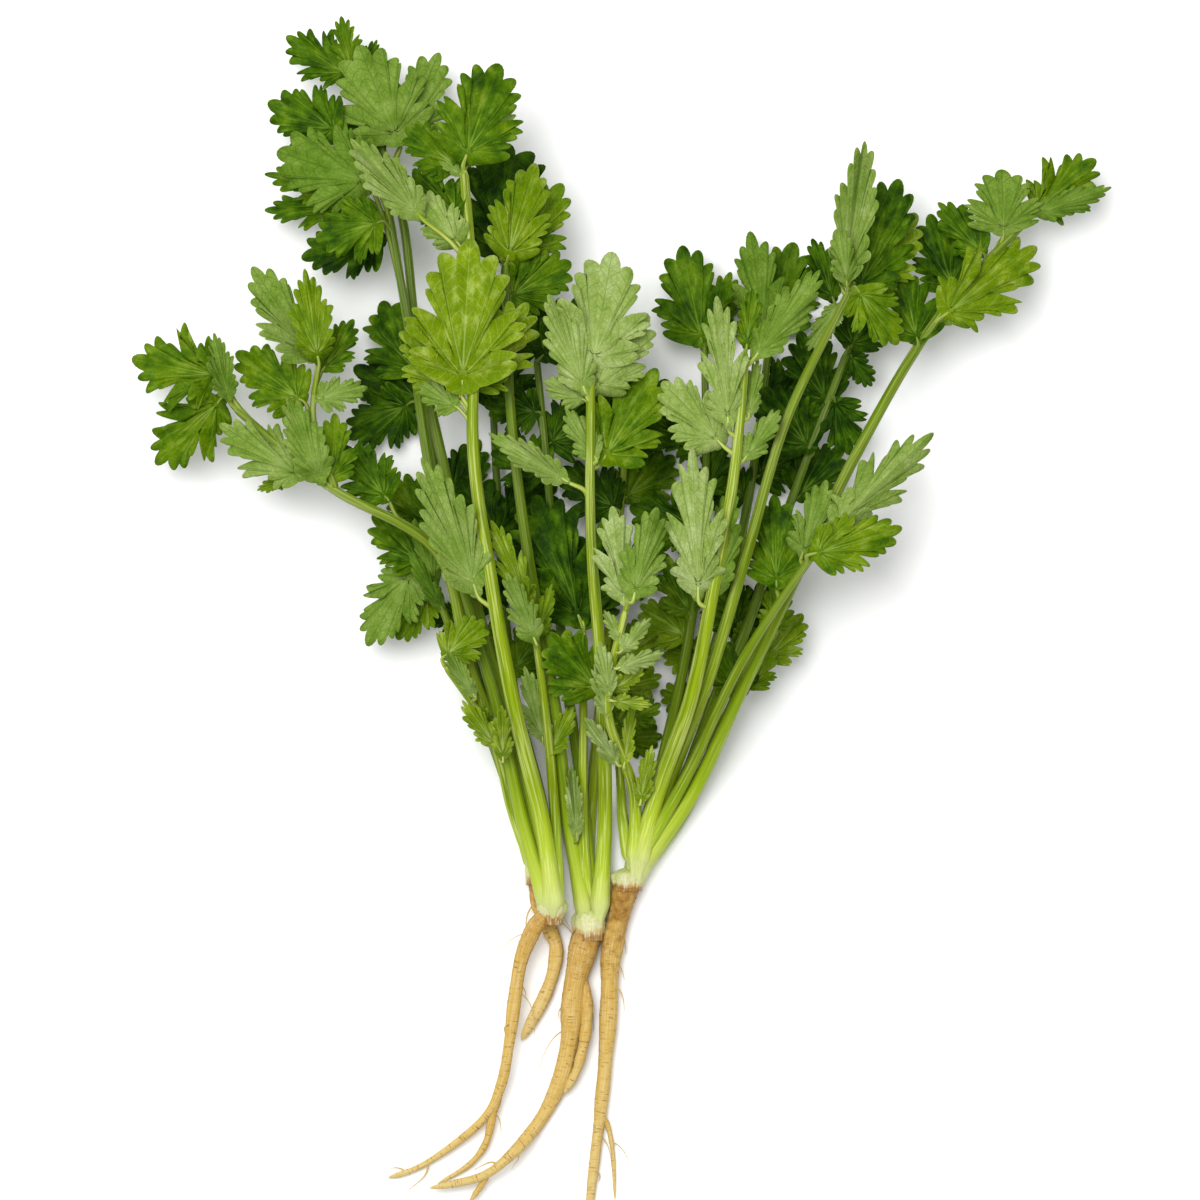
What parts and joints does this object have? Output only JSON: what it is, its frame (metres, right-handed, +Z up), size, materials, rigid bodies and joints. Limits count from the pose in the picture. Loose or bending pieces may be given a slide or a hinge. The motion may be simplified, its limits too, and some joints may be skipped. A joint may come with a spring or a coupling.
{
  "type": "coriander bunch",
  "caption": "Loose bunch of fresh coriander plants lying flat: tan taproots, pale crowns and long stems with lobed, toothed leaflets.",
  "frame": {"origin": "on the surface that the bunch lies on, under the middle of its outline", "axes": "+Z up, +Y along the bunch from the roots to the leaf tips, +X to the right of someone who looks down with the roots nearest"},
  "size_m": [0.2545, 0.3148, 0.0531],
  "materials": {
    "leafy_stem": "fresh leaf, satin above, pale and matt beneath, on smooth yellow-green stalks",
    "crown": "moist pale green-white stalk bases, satin",
    "root": "washed root skin, matt, with darker rings"
  },
  "bodies": {
    "root": {"left_crown": "crown", "middle_left_crown": "crown", "middle_crown": "crown", "right_crown": "crown", "left_root": "root", "middle_left_root": "root", "middle_root": "root", "right_root": "root", "great_leaf_stem": "leafy_stem", "centre_stem": "leafy_stem", "right_stem": "leafy_stem", "upper_right_stem": "leafy_stem", "far_right_stem": "leafy_stem", "low_right_stem": "leafy_stem", "curly_right_stem": "leafy_stem", "young_shoot": "leafy_stem", "thin_left_stem": "leafy_stem", "far_left_stem": "leafy_stem", "top_left_stem": "leafy_stem", "second_top_left_stem": "leafy_stem", "top_centre_stem": "leafy_stem", "heart_stem": "leafy_stem", "left_back_stem": "leafy_stem", "low_left_stem": "leafy_stem", "side_fan_stem": "leafy_stem", "inner_fan_stem": "leafy_stem", "dark_centre_stem": "leafy_stem", "under_centre_stem": "leafy_stem", "right_back_stem": "leafy_stem", "dark_right_stem": "leafy_stem", "shaded_right_stem": "leafy_stem", "left_under_stem": "leafy_stem", "low_under_stem": "leafy_stem", "left_low_stem": "leafy_stem"}
  },
  "joints": []
}
